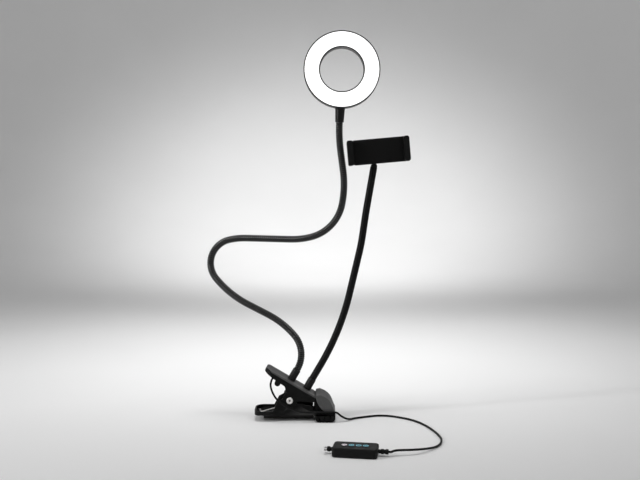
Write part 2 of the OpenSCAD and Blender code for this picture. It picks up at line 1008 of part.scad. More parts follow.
module controller_base() {
    color([0.1, 0.1, 0.1])
        at_control() {
            difference() {
                case_block(0, 0, control_split);
                case_block(control_wall, control_wall, control_split + 1);
                neck_holes();
            }
            for (x = [-18, 18], y = [-7, 7])
                translate([x, y, control_wall])
                    cylinder(r = 1.6, h = board_level - control_wall);
        }
}

module controller_lid() {
    color([0.1, 0.1, 0.1])
        at_control()
            difference() {
                case_block(0, control_split, control_height);
                case_block(control_wall, control_split - 1, control_height - control_wall);
                neck_holes();
                for (k = [0 : 3])
                    translate([button_first + k * button_pitch, 0, control_height - 1])
                        linear_extrude(4, center = true)
                            rounded_square(button_size + 0.3, button_size + 0.3, 1.3);
            }
}

module controller_board() {
    color([0.1, 0.4, 0.2])
        at_control()
            translate([-20, -9, board_level])
                cube([40, 18, key_board_thick]);
}

module controller_switches() {
    color([0.7, 0.7, 0.7])
        at_control()
            for (k = [0 : 3])
                translate([button_first + k * button_pitch, 0, board_level + key_board_thick]) {
                    translate([-2.5, -2.5, 0])
                        cube([5, 5, 1.6]);
                    translate([0, 0, 1.6])
                        cylinder(r = 1.2, h = 0.6);
                }
}

module button(k) {
    color([0.12, 0.14, 0.16])
        at_control()
            translate([button_first + k * button_pitch, 0, 0]) {
                translate([0, 0, control_height - control_wall - 0.4])
                    linear_extrude(control_wall + 0.7)
                        rounded_square(button_size, button_size, 1.1);
                translate([0, 0, control_height - control_wall - 1.3])
                    linear_extrude(0.9)
                        rounded_square(button_size + 1, button_size + 1, 1.1);
                translate([0, 0, control_height - control_wall - 1.5])
                    cylinder(r = 1.4, h = 1.2);
            }
}

module button_power() button(0);
module button_mode() button(1);
module button_minus() button(2);
module button_plus() button(3);

module relief_profile(long, ribs) {
    rotate([0, 90, 0]) {
        cylinder(r = relief_r, h = long);
        for (k = [0 : ribs - 1])
            translate([0, 0, long - rib_width - k * rib_pitch])
                cylinder(r = rib_r, h = rib_width);
    }
    translate([-2.5, 0, 0])
        rotate([0, 90, 0])
            cylinder(r = 2.2, h = 2.6);
}

module cord_relief() {
    color([0.1, 0.1, 0.1])
        at_control()
            translate([control_length / 2, 0, control_split])
                relief_profile(relief_length, 2);
}

module plug_relief() {
    color([0.1, 0.1, 0.1])
        at_control()
            translate([-control_length / 2, 0, control_split])
                rotate([0, 0, 180])
                    relief_profile(neck_length, 1);
}

module plug_shell() {
    color([0.65, 0.65, 0.66])
        at_control()
            translate([-control_length / 2 - neck_length - plug_length, 0, control_split])
                along_x(0, plug_length)
                    difference() {
                        rounded_square(8.3, 2.5, 1.2);
                        rounded_square(7.7, 1.9, 0.9);
                    }
}

module plug_tongue() {
    color([0.1, 0.1, 0.1])
        at_control()
            translate([-control_length / 2 - neck_length - plug_length + 0.7, -3.3, control_split - 0.35])
                cube([plug_length - 0.7, 6.6, 0.7]);
}

lower_lever();
lower_boot();
upper_lever();
upper_hood();
upper_pad();
pivot_tube();
torsion_spring();
cord_clip();
arm_nuts();
arm_washers();
light_foot();
light_bend_1();
light_hose_1();
light_bend_2();
light_hose_2();
light_bend_3();
light_hose_3();
light_bend_4();
light_hose_4();
light_ferrule();
light_lead_1();
light_lead_2();
light_lead_3();
light_lead_4();
ring_stem();
ring_stem_nut();
ring_housing();
ring_diffuser();
led_board();
leds();
board_screws();
phone_foot();
phone_bend_1();
phone_hose_1();
phone_bend_2();
phone_hose_2();
holder_ball_stud();
holder_ball_pads();
holder_ball_nut();
holder_cover();
holder_body();
holder_pad();
holder_slide();
holder_slide_pad();
holder_springs();
holder_screws();
cord_drop();
cord_run();
controller_base();
controller_lid();
controller_board();
controller_switches();
button_power();
button_mode();
button_minus();
button_plus();
cord_relief();
plug_relief();
plug_shell();
plug_tongue();
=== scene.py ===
"""A clip-on ring lamp and phone holder on two goosenecks, with its spring clamp, cord and controller."""

import json
import math

import bmesh
import bpy
from mathutils import Matrix, Vector


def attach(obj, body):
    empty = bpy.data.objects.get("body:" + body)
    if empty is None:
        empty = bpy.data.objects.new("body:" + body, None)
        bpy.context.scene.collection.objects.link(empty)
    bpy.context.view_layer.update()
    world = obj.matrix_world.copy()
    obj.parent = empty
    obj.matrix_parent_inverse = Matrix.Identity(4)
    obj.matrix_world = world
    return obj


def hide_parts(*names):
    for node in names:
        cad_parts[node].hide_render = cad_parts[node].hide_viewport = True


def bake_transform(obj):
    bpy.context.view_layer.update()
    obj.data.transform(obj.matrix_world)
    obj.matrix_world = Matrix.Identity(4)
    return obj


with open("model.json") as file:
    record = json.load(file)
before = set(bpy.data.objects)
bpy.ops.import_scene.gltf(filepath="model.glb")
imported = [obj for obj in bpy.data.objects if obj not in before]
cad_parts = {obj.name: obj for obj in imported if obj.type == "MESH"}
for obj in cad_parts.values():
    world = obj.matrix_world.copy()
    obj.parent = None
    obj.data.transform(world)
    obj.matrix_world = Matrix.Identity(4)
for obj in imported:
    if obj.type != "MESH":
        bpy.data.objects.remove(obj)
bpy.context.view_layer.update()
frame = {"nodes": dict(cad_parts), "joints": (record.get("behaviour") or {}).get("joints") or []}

MM = 0.001
NODES = frame["nodes"]
JOINTS = {joint["name"]: joint for joint in frame["joints"]}

# ---- sizes that the CAD model has too, in millimetres and degrees ----

# Clamp
PIVOT = Vector(JOINTS["clamp_jaw"]["pos_m"])
LEVER_SLOPE = 30.5
PLATE_TOP = 19.2
PLATE_WALL = 1.6
PLATE_UNDER = PLATE_TOP - PLATE_WALL
LIGHT_FOOT_AT = -9.8
PHONE_FOOT_AT = 11.6
BOOT_HALF = 12
BOOT_TOP = 10.9
BOOT_ROUND = 5
BOOT_WIDTH = 45
HOOD_WIDTH = 38
PAD_WIDTH = 30
TONGUE_WIDTH = 26
PAN_FLOOR = 7
PIVOT_R = 2.5
PIVOT_BORE = 1.2
PIVOT_HALF = 17
RIVET_HEAD_R = 4
RIVET_HEAD = 1

# Arms: each stretch is (turn in degrees, radius), or (0, length) where it is straight.
HOSE_R = 4.25
HOSE_BORE = 2.85
LEAD_R = 1.2
FOOT_R = 4.75
FOOT_LENGTH = 14
STUD_R = 3
LEAD_HOLE_R = 1.6
LIGHT_CHAIN = [
    (31, 36),
    (40, 36), (22, 104), (0, 27), (-23.5, 120), (-50, 28.7),
    (-38, 28.7),
    (-29, 28.7), (-13.5, 86), (0, 52), (15.5, 92), (20, 50),
    (24, 50),
    (21, 50), (18.5, 124), (0, 4),
    (0, 18),
    (-10, 200),
]
PHONE_CHAIN = [
    (0, 2), (0, 17),
    (17.3, 310), (0, 48),
    (5, 280),
    (0, 18), (-1.6, 580), (0, 46),
]

# Lamp ring: its frame has z toward the front.
RING_R = 45
HOLE_R = 25.7
RING_HALF = 8
RIM = 1.3
BACK_WALL = 1.6
BACK_ROUND = 3
STEM_LENGTH = 16.5
STEM_R = 5.1
STEM_TOP_R = 5.7
STEM_GAP = 0.3
FERRULE_BORE = 3.8
FERRULE_LENGTH = 9
TENON_R = 2.5

# Phone holder: its frame has its origin at the ball's centre.
BALL_RISE = 16
HOLDER_ROLL = 5
HOLDER_MID = Vector((1.9, 0, 2.3))
HOLDER_LENGTH = 72.5
HOLDER_HEIGHT = 29
PHONE_GAP = 59
JAW_FRONT = -22
PLATE_FRONT = -16

# Controller: its frame has x along the case, from the plug to the cord.
CONTROL_AT = Vector((30.2, -142.5, 0))
CONTROL_TURN = -9.5
CONTROL_LENGTH = 46.5
CONTROL_WIDTH = 26
CONTROL_HEIGHT = 9.8
CONTROL_SPLIT = 4.9
CONTROL_WALL = 1.5
BUTTON_SIZE = 6
BUTTON_PITCH = 7.4
BUTTON_FIRST = -11.5
BUTTON_TOP = 10.1
RELIEF_LENGTH = 10.8
RELIEF_R = 2.1
RIB_R = 2.7
RIB_WIDTH = 3.3
RIB_PITCH = 4.7
NECK_LENGTH = 6

# Route of the cord, from the clip under the upper lever to the controller.
CORD_R = 1.2
CORD_ROUTE = [
    (-61.3, -10, 51.3), (-63.4, -11, 48.6), (-64.6, -13.6, 43.4), (-63.4, -17, 38.2),
    (-60.6, -20, 32.8), (-56.8, -21.6, 27.8), (-51, -22.4, 22.8), (-44.4, -22.4, 18.6),
    (-38, -22.2, 15.6), (-31.4, -22, 13.4), (-24, -22, 12.4), (-16, -21.5, 12.2),
    (-8, -21, 12.2), (0, -21, 12.2), (8, -21, 12.2), (13.6, -20.5, 11.6),
    (19, -19.1, 7.2), (25, -15.8, 3.4), (30, -11, 1.6), (36, -5.8, 1.3),
    (48, 0, 1.3), (62, 5.4, 1.3), (76, 4.6, 1.3), (88, -1.8, 1.3),
    (99, -10.4, 1.3), (108, -21.6, 1.3), (114.4, -34.6, 1.3), (119.6, -50, 1.3),
    (123.8, -68, 1.3), (126, -86, 1.3), (125.3, -96.1, 1.3), (122.6, -107.7, 1.3),
    (118.1, -116.9, 1.4), (112.3, -124.1, 1.9), (105.1, -131.1, 3), (97, -137.7, 4.3),
    (88.2, -142.6, 5.3), (79.7, -144.9, 5.8), (71.5, -145.3, 5.5),
]

# ---- camera ----

CAMERA_AT = (-0.00615, -0.958, 0.2582)
CAMERA_DOWN = 2.636
CAMERA_LENS = 45.33


def make_camera():
    data = bpy.data.cameras.new("camera")
    data.lens = CAMERA_LENS
    data.sensor_width = 36
    camera = bpy.data.objects.new("camera", data)
    camera.location = CAMERA_AT
    camera.rotation_euler = (math.radians(90 - CAMERA_DOWN), 0, 0)
    bpy.context.collection.objects.link(camera)
    bpy.context.scene.camera = camera


make_camera()

# ---- materials ----


def blank(name):
    """A new material, its node tree, and its main shader."""
    material = bpy.data.materials.new(name)
    material.use_nodes = True
    tree = material.node_tree
    return material, tree, tree.nodes["Principled BSDF"]


def texture(tree, kind, scale, stretch=(1, 1, 1), **settings):
    """A texture node on the piece's own coordinates, which are in metres."""
    nodes, links = tree.nodes, tree.links
    place = nodes.new("ShaderNodeTexCoord")
    mapping = nodes.new("ShaderNodeMapping")
    mapping.inputs["Scale"].default_value = stretch
    node = nodes.new(kind)
    node.inputs["Scale"].default_value = scale
    for key, value in settings.items():
        node.inputs[key].default_value = value
    links.new(place.outputs["Object"], mapping.inputs["Vector"])
    links.new(mapping.outputs["Vector"], node.inputs["Vector"])
    return node


def ramp(tree, source, stops):
    """A colour ramp on source; stops are (position, colour)."""
    node = tree.nodes.new("ShaderNodeValToRGB")
    elements = node.color_ramp.elements
    while len(elements) < len(stops):
        elements.new(0.5)
    for element, (position, colour) in zip(elements, stops):
        element.position = position
        element.color = (*colour, 1)
    tree.links.new(source, node.inputs["Fac"])
    return node.outputs["Color"]


def spread(tree, source, low, high):
    """source, from 0.3 to 0.7 of its range, turned to low to high."""
    node = tree.nodes.new("ShaderNodeMapRange")
    node.inputs["From Min"].default_value = 0.3
    node.inputs["From Max"].default_value = 0.7
    node.inputs["To Min"].default_value = low
    node.inputs["To Max"].default_value = high
    tree.links.new(source, node.inputs["Value"])
    return node.outputs["Result"]


def relief(tree, shader, source, depth, strength=1.0):
    """Bump of depth metres on the shader."""
    node = tree.nodes.new("ShaderNodeBump")
    node.inputs["Distance"].default_value = depth
    node.inputs["Strength"].default_value = strength
    tree.links.new(source, node.inputs["Height"])
    tree.links.new(node.outputs["Normal"], shader.inputs["Normal"])


def surface(name, dark, light, rough, grain, depth, stretch=(1, 1, 1), metallic=0.0, specular=0.5, coat=0.0):
    """A finish whose colour runs from dark to light and whose roughness runs over rough."""
    material, tree, shader = blank(name)
    shader.inputs["Metallic"].default_value = metallic
    shader.inputs["Specular IOR Level"].default_value = specular
    shader.inputs["Coat Weight"].default_value = coat
    shader.inputs["Coat Roughness"].default_value = 0.2
    broad = texture(tree, "ShaderNodeTexNoise", grain / 8, stretch, Detail=3)
    fine = texture(tree, "ShaderNodeTexNoise", grain, stretch, Detail=4)
    colour = ramp(tree, broad.outputs["Fac"], [(0.3, dark), (0.7, light)])
    tree.links.new(colour, shader.inputs["Base Color"])
    tree.links.new(spread(tree, fine.outputs["Fac"], *rough), shader.inputs["Roughness"])
    relief(tree, shader, fine.outputs["Fac"], depth)
    return material


def grey(value, warm=0.0):
    return (value * (1 + warm), value, value * (1 - warm))


def painted_steel(name, dark, light, rough, specular=0.2):
    """Powder coat on pressed steel: fine orange peel, and thin wear along the sharp edges."""
    material, tree, shader = blank(name)
    shader.inputs["Specular IOR Level"].default_value = specular
    broad = texture(tree, "ShaderNodeTexNoise", 60, Detail=3)
    peel = texture(tree, "ShaderNodeTexNoise", 1500, Detail=2)
    coat = ramp(tree, broad.outputs["Fac"], [(0.3, dark), (0.7, light)])
    edge = tree.nodes.new("ShaderNodeNewGeometry")
    worn = ramp(tree, edge.outputs["Pointiness"], [(0.53, grey(0)), (0.6, grey(0.35))])
    mix = tree.nodes.new("ShaderNodeMix")
    mix.data_type = "RGBA"
    mix.inputs["B"].default_value = (*grey(0.12, 0.02), 1)
    tree.links.new(worn, mix.inputs["Factor"])
    tree.links.new(coat, mix.inputs["A"])
    tree.links.new(mix.outputs["Result"], shader.inputs["Base Color"])
    tree.links.new(spread(tree, peel.outputs["Fac"], *rough), shader.inputs["Roughness"])
    relief(tree, shader, peel.outputs["Fac"], 0.00004)
    return material


def textured_plastic(name, dark, light, rough, cell, depth, specular=0.4):
    """Moulded plastic or rubber with an eroded texture of cell-sized grains."""
    material, tree, shader = blank(name)
    shader.inputs["Specular IOR Level"].default_value = specular
    broad = texture(tree, "ShaderNodeTexNoise", 90, Detail=4)
    grains = texture(tree, "ShaderNodeTexVoronoi", 1 / cell)
    colour = ramp(tree, broad.outputs["Fac"], [(0.3, dark), (0.7, light)])
    tree.links.new(colour, shader.inputs["Base Color"])
    tree.links.new(spread(tree, broad.outputs["Fac"], *rough), shader.inputs["Roughness"])
    relief(tree, shader, grains.outputs["Distance"], depth, 0.6)
    return material


def lit_plastic(name, colour, strength):
    """Plastic that glows evenly, with a faint milky unevenness."""
    material, tree, shader = blank(name)
    clouds = texture(tree, "ShaderNodeTexNoise", 120, Detail=2)
    tint = ramp(tree, clouds.outputs["Fac"], [(0.2, tuple(c * 0.97 for c in colour)), (0.8, colour)])
    tree.links.new(tint, shader.inputs["Base Color"])
    tree.links.new(tint, shader.inputs["Emission Color"])
    tree.links.new(spread(tree, clouds.outputs["Fac"], 0.28, 0.36), shader.inputs["Roughness"])
    shader.inputs["Emission Strength"].default_value = strength
    return material


def studio_floor(name):
    material, tree, shader = blank(name)
    shader.inputs["Specular IOR Level"].default_value = 0.15
    clouds = texture(tree, "ShaderNodeTexNoise", 3, Detail=2)
    tint = ramp(tree, clouds.outputs["Fac"], [(0.3, grey(0.80)), (0.7, grey(0.82))])
    tree.links.new(tint, shader.inputs["Base Color"])
    tree.links.new(spread(tree, clouds.outputs["Fac"], 0.75, 0.85), shader.inputs["Roughness"])
    return material


CLAMP_STEEL = painted_steel("clamp_steel", grey(0.003), grey(0.006), (0.4, 0.55), 0.12)
# A lighter copy of the clamp's dark paint for the upper handle's upward faces: painted light, the top lit from above,
# not a second paint.
CLAMP_LIT_TOP = painted_steel("clamp_paint", grey(0.048), grey(0.062), (0.45, 0.58), 0.35)
HOOD_PLASTIC = textured_plastic("hood_plastic", grey(0.072), grey(0.086), (0.55, 0.68), 0.0006, 0.00006, 0.3)
GRIP_RUBBER = textured_plastic("grip_rubber", grey(0.003), grey(0.006), (0.6, 0.75), 0.0009, 0.00006, 0.12)
BRIGHT_STEEL = surface("bright_steel", grey(0.82, 0.02), grey(0.9, 0.02), (0.25, 0.4), 2200, 0.00001, metallic=0.6)
ZINC_STEEL = surface("zinc_steel", grey(0.42, 0.03), grey(0.55, 0.04), (0.3, 0.45), 1400, 0.00002, metallic=1)
BLACK_PLASTIC = textured_plastic("black_plastic", grey(0.004), grey(0.007), (0.42, 0.55), 0.0007, 0.00003, 0.15)
SLEEVE_METAL = surface("sleeve_metal", grey(0.006), grey(0.009), (0.26, 0.36), 1800, 0.00001, specular=0.25)
LIGHT_HOSE = surface("light_hose_metal", grey(0.003), grey(0.005), (0.1, 0.16), 1600, 0.000002, specular=0.5)
PHONE_HOSE = surface("phone_hose_metal", grey(0.003), grey(0.005), (0.36, 0.48), 1600, 0.00001, specular=0.15)
LEAD_SHEATH = surface("lead_sheath", (0.20, 0.02, 0.02), (0.26, 0.03, 0.03), (0.4, 0.5), 900, 0.00002)
RING_PLASTIC = textured_plastic("ring_plastic", grey(0.022), grey(0.028), (0.38, 0.48), 0.0005, 0.00002, 0.25)
DIFFUSER = lit_plastic("diffuser_plastic", (1.0, 1.0, 0.995), 1.15)
BOARD_WHITE = surface("board_white", grey(0.72, 0.02), grey(0.8, 0.02), (0.35, 0.5), 700, 0.00001)
LED_RESIN = lit_plastic("led_resin", (1.0, 0.86, 0.5), 2.0)
NYLON = surface("nylon", grey(0.7, 0.03), grey(0.78, 0.03), (0.4, 0.5), 900, 0.00002)
HOLDER_RUBBER = textured_plastic("holder_rubber", grey(0.003), grey(0.005), (0.6, 0.72), 0.0005, 0.00003, 0.12)
HOLDER_PLASTIC = textured_plastic("holder_plastic", grey(0.004), grey(0.007), (0.45, 0.56), 0.0006, 0.00002, 0.16)
CORD_SHEATH = surface("cord_sheath", grey(0.003), grey(0.006), (0.4, 0.52), 1500, 0.00002, specular=0.15)
GREEN_BOARD = surface("green_board", (0.015, 0.10, 0.04), (0.02, 0.14, 0.05), (0.3, 0.4), 500, 0.00001)
SWITCH_METAL = surface("switch_metal", grey(0.5), grey(0.6), (0.3, 0.4), 1500, 0.00001, metallic=1)
PLUG_METAL = surface("plug_metal", grey(0.45), grey(0.58), (0.24, 0.38), 1500, 0.00001, (0.2, 1, 1), metallic=1)
CONTACT_METAL = surface("contact_metal", (0.6, 0.42, 0.16), (0.7, 0.5, 0.2), (0.2, 0.3), 1500, 0.00001, metallic=1)
KEY_PLASTIC = textured_plastic("key_plastic", (0.004, 0.008, 0.010), (0.006, 0.012, 0.015), (0.3, 0.4), 0.0005, 0.00001, 0.2)
MARK_WHITE = lit_plastic("mark_white", (0.82, 0.74, 0.80), 0.45)
MARK_BLUE = lit_plastic("mark_blue", (0.16, 0.50, 0.62), 0.4)
FLOOR = studio_floor("studio_floor")

# ---- shapes ----


def piece_from(bm, name, material, sharp=35):
    """A shown object made of bm, in metres and in the row frame, smooth except at edges over sharp degrees."""
    bmesh.ops.remove_doubles(bm, verts=bm.verts, dist=1e-7)
    bmesh.ops.dissolve_degenerate(bm, edges=bm.edges, dist=1e-7)
    bmesh.ops.recalc_face_normals(bm, faces=bm.faces)
    mesh = bpy.data.meshes.new(name)
    bm.to_mesh(mesh)
    bm.free()
    mesh.materials.append(material)
    mesh.polygons.foreach_set("use_smooth", [True] * len(mesh.polygons))
    mesh.set_sharp_from_angle(angle=math.radians(sharp))
    piece = bpy.data.objects.new(name, mesh)
    bpy.context.collection.objects.link(piece)
    return piece


def add_grid(bm, rows, close_rows=False, close_columns=True):
    """Faces over rows of points, in metres."""
    made = [[bm.verts.new(point) for point in row] for row in rows]
    count, wide = len(made), len(made[0])
    for i in range(count if close_rows else count - 1):
        for k in range(wide if close_columns else wide - 1):
            a, b = made[i], made[(i + 1) % count]
            n = (k + 1) % wide
            bm.faces.new((a[k], a[n], b[n], b[k]))
    return made


def rounded(corners, steps=5):
    """A closed outline; a corner is (x, y) or (x, y, radius), and its arc is drawn as a curve of steps parts."""
    line = []
    for i, corner in enumerate(corners):
        here = Vector(corner[:2])
        before = (Vector(corners[i - 1][:2]) - here).normalized()
        after = (Vector(corners[(i + 1) % len(corners)][:2]) - here).normalized()
        half = before.angle(after) / 2
        if len(corner) < 3 or half > math.pi / 2 - 0.02:
            line.append(here)
            continue
        reach = corner[2] / math.tan(half)
        middle = here + (before + after).normalized() * corner[2] / math.sin(half)
        start = here + before * reach - middle
        turn = start.angle_signed(here + after * reach - middle)
        for k in range(steps + 1):
            line.append(middle + Matrix.Rotation(-turn * k / steps, 2) @ start)
    return line


def lathe(name, profile, place, material, segments=96, sharp=35):
    """A closed profile of (radius, z) points in millimetres, turned about z and put at place."""
    bm = bmesh.new()
    rows = []
    for k in range(segments):
        a = 2 * math.pi * k / segments
        rows.append([place @ Vector((r * MM * math.cos(a), r * MM * math.sin(a), z * MM)) for r, z in profile])
    add_grid(bm, rows, close_rows=True)
    return piece_from(bm, name, material, sharp)


def offset_line(line, inset):
    """A closed outline drawn in by inset along its own normals."""
    area = sum(a.cross(b) for a, b in zip(line, line[1:] + line[:1]))
    side = 1 if area > 0 else -1
    moved = []
    for before, here, after in zip(line[-1:] + line[:-1], line, line[1:] + line[:1]):
        normals = []
        for a, b in ((before, here), (here, after)):
            along = b - a
            if along.length > 1e-6:
                normals.append(Vector((-along.y, along.x)).normalized() * side)
        mean = sum(normals, Vector((0, 0))).normalized()
        moved.append(here + mean * inset / max(0.5, mean.dot(normals[0])))
    return moved


def soft_prism(name, line, low, high, edge, place, material, steps=4, sharp=35):
    """An outline in (x, z) spread over y from low to high, with its two end edges rounded by edge."""
    bm = bmesh.new()
    turns = [math.pi / 2 * k / steps for k in range(steps + 1)]
    first = [(low + edge * (1 - math.cos(t)), edge * (1 - math.sin(t))) for t in turns]
    last = [(high - edge * (1 - math.cos(t)), edge * (1 - math.sin(t))) for t in reversed(turns)]
    rows = []
    for y, inset in first + last:
        ring = offset_line(line, inset)
        rows.append([place @ (Vector((p.x, y, p.y)) * MM) for p in ring])
    made = add_grid(bm, rows)
    bm.faces.new(made[0])
    bm.faces.new(made[-1])
    piece = piece_from(bm, name, material, sharp)
    flat_faces(piece)
    return piece


def flat_faces(piece):
    """Weighted normals, so that flat faces stay flat beside rounded edges."""
    weighted = piece.modifiers.new("flat_faces", "WEIGHTED_NORMAL")
    weighted.keep_sharp = True
    return piece


def smooth_path(points, steps):
    """A smooth curve through points, with steps points to each span."""
    line = []
    last = len(points) - 1
    for i in range(last):
        a, b, c, d = (Vector(points[max(0, min(last, i + k))]) for k in (-1, 0, 1, 2))
        for k in range(steps):
            t = k / steps
            line.append(b + 0.5 * t * (c - a + t * (2 * a - 5 * b + 4 * c - d + t * (3 * (b - c) + d - a))))
    line.append(Vector(points[-1]))
    return line


def bent(points, radius, steps=4):
    """A wire's line with its sharp corners turned round a radius."""
    line = [Vector(points[0])]
    for before, here, after in zip(points, points[1:], points[2:]):
        before, here, after = Vector(before), Vector(here), Vector(after)
        reach = min(radius, (before - here).length / 2, (after - here).length / 2)
        start = here + (before - here).normalized() * reach
        end = here + (after - here).normalized() * reach
        for k in range(steps + 1):
            t = k / steps
            line.append(start.lerp(here, t).lerp(here.lerp(end, t), t))
    line.append(Vector(points[-1]))
    return line


def tube(name, line, radius, material, sides=16, up=(0, 1, 0.3)):
    """A round bar of radius millimetres along line, which is in millimetres."""
    bm = bmesh.new()
    rows = []
    normal = Vector(up)
    for i, point in enumerate(line):
        along = (line[min(i + 1, len(line) - 1)] - line[max(i - 1, 0)]).normalized()
        normal = (normal - along * normal.dot(along)).normalized()
        side = along.cross(normal)
        ring = []
        for k in range(sides):
            a = 2 * math.pi * k / sides
            ring.append((point + radius * (math.cos(a) * normal + math.sin(a) * side)) * MM)
        rows.append(ring)
    made = add_grid(bm, rows)
    bm.faces.new(made[0])
    bm.faces.new(made[-1])
    return piece_from(bm, name, material, 50)


def cad_mesh(node):
    """A CAD node's solid as flat faces, to be worked on."""
    bm = bmesh.new()
    bm.from_mesh(NODES[node].data)
    bmesh.ops.remove_doubles(bm, verts=bm.verts, dist=1e-6)
    bmesh.ops.dissolve_limit(bm, angle_limit=math.radians(1), verts=bm.verts, edges=bm.edges)
    return bm


def softened(name, node, body, edge, material, chosen=None, chosen_edge=0, slot=None):
    """A piece in a CAD node's shape with its edges broken by edge millimetres, and the chosen edges rounded more."""
    bm = cad_mesh(node)
    if chosen:
        edges = [e for e in bm.edges if e.calc_face_angle(0) > 0.5 and chosen(e)]
        bmesh.ops.bevel(
            bm, geom=edges, offset=chosen_edge * MM, segments=5, profile=0.5, affect="EDGES", clamp_overlap=True
        )
    piece = piece_from(bm, name, material, 40)
    bevel = piece.modifiers.new("soft_edges", "BEVEL")
    bevel.width = edge * MM
    bevel.segments = 3
    bevel.limit_method = "ANGLE"
    bevel.angle_limit = math.radians(40)
    bevel.use_clamp_overlap = True
    flat_faces(piece)
    settle(piece, body, node, slot=slot)
    return piece


def settle(piece, body, *nodes, slot=None):
    """The piece rides on body in place of nodes."""
    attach(piece, body)
    if nodes:
        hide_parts(*nodes)
    return piece


def keep(node, material):
    """A CAD node that stays, with its material."""
    mesh = NODES[node].data
    mesh.materials.clear()
    mesh.materials.append(material)


def turned(x, y, z):
    """A rotation by degrees about x, then y, then z."""
    spins = [Matrix.Rotation(math.radians(angle), 4, axis) for angle, axis in ((z, "Z"), (y, "Y"), (x, "X"))]
    return spins[0] @ spins[1] @ spins[2]


def moved(x, y, z):
    return Matrix.Translation(Vector((x, y, z)) * MM)


AT_CLAMP = Matrix.Translation(PIVOT) @ turned(0, LEVER_SLOPE, 0)
AT_CONTROL = Matrix.Translation(CONTROL_AT * MM) @ turned(0, 0, CONTROL_TURN)


def clamp_point(along, up, y=0):
    """A place in the clamp's frame, in the row frame in millimetres."""
    return (AT_CLAMP @ (Vector((along, y, up)) * MM)) / MM


# ---- arms' lines ----


def next_pose(pose, stretch, share=1.0):
    """The (x, z, heading) after a share of one stretch."""
    x, z, heading = pose
    turn, size = stretch
    if turn == 0:
        return (x + share * size * math.cos(heading), z + share * size * math.sin(heading), heading)
    side = 1 if turn > 0 else -1
    ahead = heading + share * math.radians(turn)
    return (
        x + side * size * (math.sin(ahead) - math.sin(heading)),
        z - side * size * (math.cos(ahead) - math.cos(heading)),
        ahead,
    )


def stretch_length(stretch):
    turn, size = stretch
    return size if turn == 0 else size * math.radians(abs(turn))


class Arm:
    """A gooseneck's line in the x-z plane, by distance along it in millimetres."""

    def __init__(self, foot_at, chain):
        foot = clamp_point(foot_at, PLATE_TOP + FOOT_LENGTH)
        self.chain = chain
        self.poses = [(foot.x, foot.z, math.radians(90 - LEVER_SLOPE))]
        self.starts = [0.0]
        for stretch in chain:
            self.poses.append(next_pose(self.poses[-1], stretch))
            self.starts.append(self.starts[-1] + stretch_length(stretch))

    def pose_at(self, distance):
        for pose, start, stretch in zip(self.poses, self.starts, self.chain):
            length = stretch_length(stretch)
            if distance <= start + length:
                break
        return next_pose(pose, stretch, (distance - start) / length)

    def point(self, index):
        """Where stretch index starts, in metres in the row frame."""
        x, z, _ = self.poses[index]
        return Vector((x, 0, z)) * MM


LIGHT_ARM = Arm(LIGHT_FOOT_AT, LIGHT_CHAIN)
PHONE_ARM = Arm(PHONE_FOOT_AT, PHONE_CHAIN)


def at_pose(pose):
    """A frame on an arm's line, with z along the arm."""
    x, z, heading = pose
    return moved(x, 0, z) @ turned(0, 90 - math.degrees(heading), 0)


AT_LIGHT_END = at_pose(LIGHT_ARM.poses[-1])
AT_PHONE_END = at_pose(PHONE_ARM.poses[-1])
AT_RING = AT_LIGHT_END @ moved(0, 0, STEM_LENGTH + RING_R) @ turned(90, 0, 0)
AT_HOLDER = Matrix.Translation((AT_PHONE_END @ moved(0, 0, BALL_RISE)).translation) @ turned(0, -HOLDER_ROLL, 0)


def ring_point(pose, radius, angle):
    x, z, heading = pose
    out = radius * math.cos(angle)
    return Vector((x - out * math.sin(heading), -radius * math.sin(angle), z + out * math.cos(heading))) * MM


# ---- cord ----


def make_cord():
    ends = []
    for reach in (RELIEF_LENGTH + 2.5, RELIEF_LENGTH, -2):
        ends.append(AT_CONTROL @ (Vector((CONTROL_LENGTH / 2 + reach, 0, CONTROL_SPLIT)) * MM) / MM)
    line = smooth_path([*CORD_ROUTE, ends[0]], 6) + ends[1:]
    cord = tube("cord", line, CORD_R, CORD_SHEATH)
    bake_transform(cord)
    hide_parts("cord_drop", "cord_run")
    return cord, line


CORD, CORD_LINE = make_cord()

# ---- controller ----


def case_edges(level):
    """Picks a case's outer edges at one height."""

    def chosen(edge):
        if any(abs(v.co.z - level * MM) > 1e-5 for v in edge.verts):
            return False
        middle = AT_CONTROL.inverted() @ ((edge.verts[0].co + edge.verts[1].co) / 2)
        inner = Vector((CONTROL_LENGTH / 2 - CONTROL_WALL, CONTROL_WIDTH / 2 - CONTROL_WALL)) * MM
        return abs(middle.x) > inner.x or abs(middle.y) > inner.y

    return chosen


def ribbed_neck(name, tip, ribs, turn, node):
    """A strain relief: a sleeve with broad ribs at its outer end, from the case's end."""
    corners = [(CORD_R, -2), (RELIEF_R + 0.1, -2), (RELIEF_R + 0.1, 0), (RELIEF_R, 0.1)]
    for k in range(ribs - 1, -1, -1):
        end = tip - k * RIB_PITCH
        corners += [(RELIEF_R, end - RIB_WIDTH, 0.3), (RIB_R, end - RIB_WIDTH, 0.7), (RIB_R, end, 0.7)]
        if k:
            corners.append((RELIEF_R, end, 0.3))
    corners.append((CORD_R, tip))
    start = CONTROL_LENGTH / 2 * (1 if turn == 0 else -1)
    place = AT_CONTROL @ moved(start, 0, CONTROL_SPLIT) @ turned(0, 0, turn) @ turned(0, 90, 0)
    piece = lathe(name, rounded(corners), place, BLACK_PLASTIC, 48, 50)
    return settle(piece, "lower_jaw", node, slot="cord_sheath")


